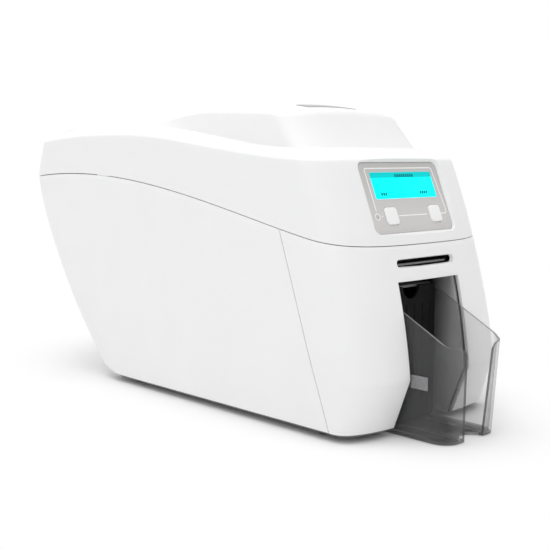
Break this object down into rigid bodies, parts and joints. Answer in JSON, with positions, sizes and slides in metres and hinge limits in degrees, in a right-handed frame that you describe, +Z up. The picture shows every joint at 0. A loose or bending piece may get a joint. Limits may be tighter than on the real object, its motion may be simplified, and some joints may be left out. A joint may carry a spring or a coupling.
{
  "type": "id card printer",
  "caption": "Desktop ID card printer with a hinged lid carrying display and print head, sliding clear card hopper, ribbon spools and roller card path.",
  "frame": {"origin": "centre of the footprint of the whole printer with its hopper closed, on the table", "axes": "+Z up, -Y towards the front with the card slot and hopper, +X to the printer's right as seen from the front"},
  "size_m": [0.164, 0.4403, 0.2342],
  "materials": {
    "cover_white": "fine texture",
    "tray_grey": "fine texture",
    "black_plastic": "matte",
    "foot_rubber": "matte",
    "frame_grey": "ribbed",
    "badge_grey": "satin",
    "bezel_silver": "satin",
    "display_glass": "lit",
    "board_green": "solder mask",
    "key_white": "satin",
    "lamp": "clear",
    "smoke_clear": "clear",
    "gate_black": "matte",
    "plate_grey": "matte",
    "spring_steel": "bright",
    "sheet_steel": "zinc plated",
    "shaft_steel": "ground",
    "magnet": "plain",
    "brass": "plain",
    "bed_plastic": "smooth",
    "roller_rubber": "ground",
    "clean_rubber": "tacky",
    "pinch_metal": "turned",
    "heat_sink": "extruded",
    "motor_black": "satin",
    "belt": "toothed",
    "spool_amber": "wound film",
    "spool_brown": "wound film",
    "film": "thin film",
    "socket_black": "plain",
    "socket_metal": "stamped"
  },
  "bodies": {
    "case": {"base_tray": "tray_grey", "rubber_feet": "foot_rubber", "left_side_panel": "cover_white", "right_side_panel": "cover_white", "front_cover": "cover_white", "rear_cover": "cover_white", "bay_liner": "black_plastic", "hinge_brackets": "sheet_steel", "lid_hinge_pins": "shaft_steel", "lid_magnets": "magnet", "chassis_left_plate": "sheet_steel", "chassis_right_plate": "sheet_steel", "cross_bars": "shaft_steel", "shaft_bushes": "brass", "card_bed": "bed_plastic", "transport_motor": "motor_black", "drive_belts": "belt", "ribbon_film": "film", "ribbon_motor": "motor_black", "main_board": "board_green", "power_inlet": "socket_black", "usb_port": "socket_metal", "ethernet_port": "socket_metal", "cooling_fan": "black_plastic", "base_screws": "shaft_steel"},
    "lid_assembly": {"lid": "cover_white", "lid_frame": "frame_grey", "top_badge": "badge_grey", "display_bezel": "bezel_silver", "display_window": "display_glass", "lcd_module": "board_green", "status_led": "lamp", "lid_hinge_leaves": "sheet_steel", "lid_strikers": "sheet_steel", "head_springs": "spring_steel"},
    "left_key": {"left_button": "key_white"},
    "right_key": {"right_button": "key_white"},
    "head": {"print_head": "heat_sink", "head_carriage": "frame_grey"},
    "card_hopper": {"hopper": "smoke_clear", "card_gate": "gate_black", "lift_spring": "spring_steel"},
    "card_lift": {"lift_plate": "plate_grey"},
    "diverter": {"card_diverter": "bed_plastic"},
    "pick": {"pick_shaft": "shaft_steel", "pick_roller": "roller_rubber"},
    "infeed": {"infeed_shaft": "shaft_steel", "infeed_roller": "roller_rubber"},
    "infeed_pinch": {"infeed_pinch_roller": "pinch_metal"},
    "cleaner": {"cleaning_roller": "clean_rubber"},
    "platen": {"platen_shaft": "shaft_steel", "platen_roller": "roller_rubber"},
    "exit_drive": {"exit_shaft": "shaft_steel", "exit_roller": "roller_rubber"},
    "exit_pinch": {"exit_pinch_roller": "pinch_metal"},
    "motor_rotor": {"motor_pulley": "shaft_steel"},
    "supply": {"ribbon_supply_spool": "spool_amber"},
    "takeup": {"ribbon_takeup_spool": "spool_brown"},
    "fan": {"fan_rotor": "black_plastic"},
    "switch": {"power_switch": "socket_black"}
  },
  "joints": [
    {"name": "lid_hinge", "type": "hinge", "parent": "case", "child": "lid_assembly", "pos_m": [0, 0.2161, 0.16987], "axis": [-1, 0, 0], "range_deg": [0, 100]},
    {"name": "left_button_press", "type": "slide", "parent": "lid_assembly", "child": "left_key", "axis": [0, 0.9285, -0.3714], "range_m": [0, 0.0008], "stiffness_N_per_m": 400, "springref_m": -0.001},
    {"name": "right_button_press", "type": "slide", "parent": "lid_assembly", "child": "right_key", "axis": [0, 0.9285, -0.3714], "range_m": [0, 0.0008], "stiffness_N_per_m": 400, "springref_m": -0.001},
    {"name": "head_float", "type": "slide", "parent": "lid_assembly", "child": "head", "axis": [0, 0, 1], "range_m": [0, 0.003], "stiffness_N_per_m": 800, "springref_m": -0.002, "deforming": ["head_springs"]},
    {"name": "hopper_slide", "type": "slide", "parent": "case", "child": "card_hopper", "axis": [0, -1, 0], "range_m": [0, 0.1]},
    {"name": "lift_travel", "type": "slide", "parent": "card_hopper", "child": "card_lift", "axis": [0, 0, -1], "range_m": [0, 0.074], "stiffness_N_per_m": 60, "springref_m": -0.015, "deforming": ["lift_spring"]},
    {"name": "diverter_tip", "type": "hinge", "parent": "case", "child": "diverter", "pos_m": [0, -0.1615, 0.1146], "axis": [1, 0, 0], "range_deg": [0, 25], "stiffness_Nm_per_rad": 0.003, "springref_deg": -17.19},
    {"name": "motor_spin", "type": "hinge", "parent": "case", "child": "motor_rotor", "pos_m": [0, 0.0235, 0.06], "axis": [1, 0, 0], "continuous": true},
    {"name": "pick_spin", "type": "hinge", "parent": "case", "child": "pick", "pos_m": [0, -0.1105, 0.1066], "axis": [1, 0, 0], "continuous": true},
    {"name": "infeed_spin", "type": "hinge", "parent": "case", "child": "infeed", "pos_m": [0, -0.0265, 0.11022], "axis": [1, 0, 0], "continuous": true},
    {"name": "infeed_pinch_spin", "type": "hinge", "parent": "case", "child": "infeed_pinch", "pos_m": [0, -0.0265, 0.12298], "axis": [1, 0, 0], "continuous": true},
    {"name": "cleaner_spin", "type": "hinge", "parent": "case", "child": "cleaner", "pos_m": [0, -0.0035, 0.12598], "axis": [1, 0, 0], "continuous": true},
    {"name": "platen_spin", "type": "hinge", "parent": "case", "child": "platen", "pos_m": [0, 0.0285, 0.10922], "axis": [1, 0, 0], "continuous": true},
    {"name": "exit_spin", "type": "hinge", "parent": "case", "child": "exit_drive", "pos_m": [0, 0.0735, 0.11022], "axis": [1, 0, 0], "continuous": true},
    {"name": "exit_pinch_spin", "type": "hinge", "parent": "case", "child": "exit_pinch", "pos_m": [0, 0.0735, 0.12298], "axis": [1, 0, 0], "continuous": true},
    {"name": "takeup_spin", "type": "hinge", "parent": "case", "child": "takeup", "pos_m": [0, -0.0145, 0.159], "axis": [1, 0, 0], "continuous": true},
    {"name": "supply_spin", "type": "hinge", "parent": "case", "child": "supply", "pos_m": [0, 0.0705, 0.159], "axis": [1, 0, 0], "continuous": true},
    {"name": "fan_spin", "type": "hinge", "parent": "case", "child": "fan", "pos_m": [-0.006, 0.0995, 0.028], "axis": [0, 1, 0], "continuous": true},
    {"name": "power_rocker", "type": "hinge", "parent": "case", "child": "switch", "pos_m": [-0.03, 0.175, 0.103], "axis": [1, 0, 0], "range_deg": [0, 16]}
  ],
  "couplings": [
    {"joint": "pick_spin", "follows": "motor_spin", "ratio": 0.75},
    {"joint": "infeed_spin", "follows": "motor_spin", "ratio": 0.75},
    {"joint": "exit_spin", "follows": "motor_spin", "ratio": 0.75},
    {"joint": "platen_spin", "follows": "motor_spin", "ratio": 0.66667},
    {"joint": "infeed_pinch_spin", "follows": "motor_spin", "ratio": -1.05},
    {"joint": "exit_pinch_spin", "follows": "motor_spin", "ratio": -1.05},
    {"joint": "cleaner_spin", "follows": "motor_spin", "ratio": -0.65625},
    {"joint": "supply_spin", "follows": "takeup_spin", "ratio": 0.58823}
  ]
}
